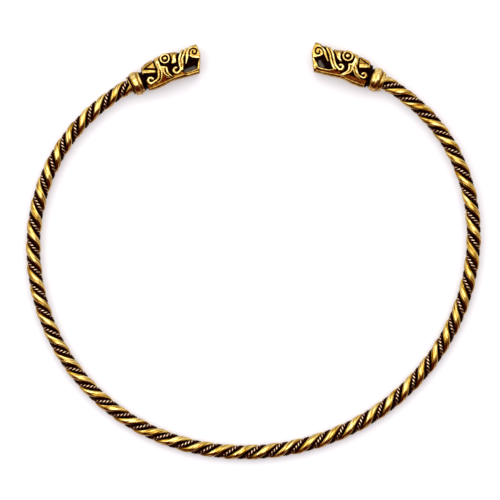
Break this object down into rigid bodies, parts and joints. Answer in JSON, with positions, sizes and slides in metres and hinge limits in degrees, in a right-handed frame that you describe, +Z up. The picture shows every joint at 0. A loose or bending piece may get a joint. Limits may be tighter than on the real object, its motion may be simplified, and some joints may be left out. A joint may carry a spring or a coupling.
{
  "type": "torc",
  "caption": "Open bronze neck ring of plain rods twisted with fine cords, ending in a moulded collar and a cast beast head on each side of the gap.",
  "frame": {"origin": "middle of the bounding box at its bottom, inside the ring, on the surface that it lies on", "axes": "+X across the ring towards the right-hand head, +Y towards the gap between the heads, +Z up from the surface that it lies on"},
  "size_m": [0.1496, 0.1372, 0.0089],
  "materials": {
    "polished_bronze": "polished golden bronze, red-brown where it turns under",
    "darkened_bronze": "black patina, rubbed bright on the tops of the twists",
    "cast_bronze": "polished golden relief over a black patinated ground"
  },
  "bodies": {
    "root": {"plain_strand_1": "polished_bronze", "plain_strand_2": "polished_bronze", "twisted_cord_1": "darkened_bronze", "twisted_cord_2": "darkened_bronze", "beast_head_left": "cast_bronze", "beast_head_right": "cast_bronze"}
  },
  "joints": []
}
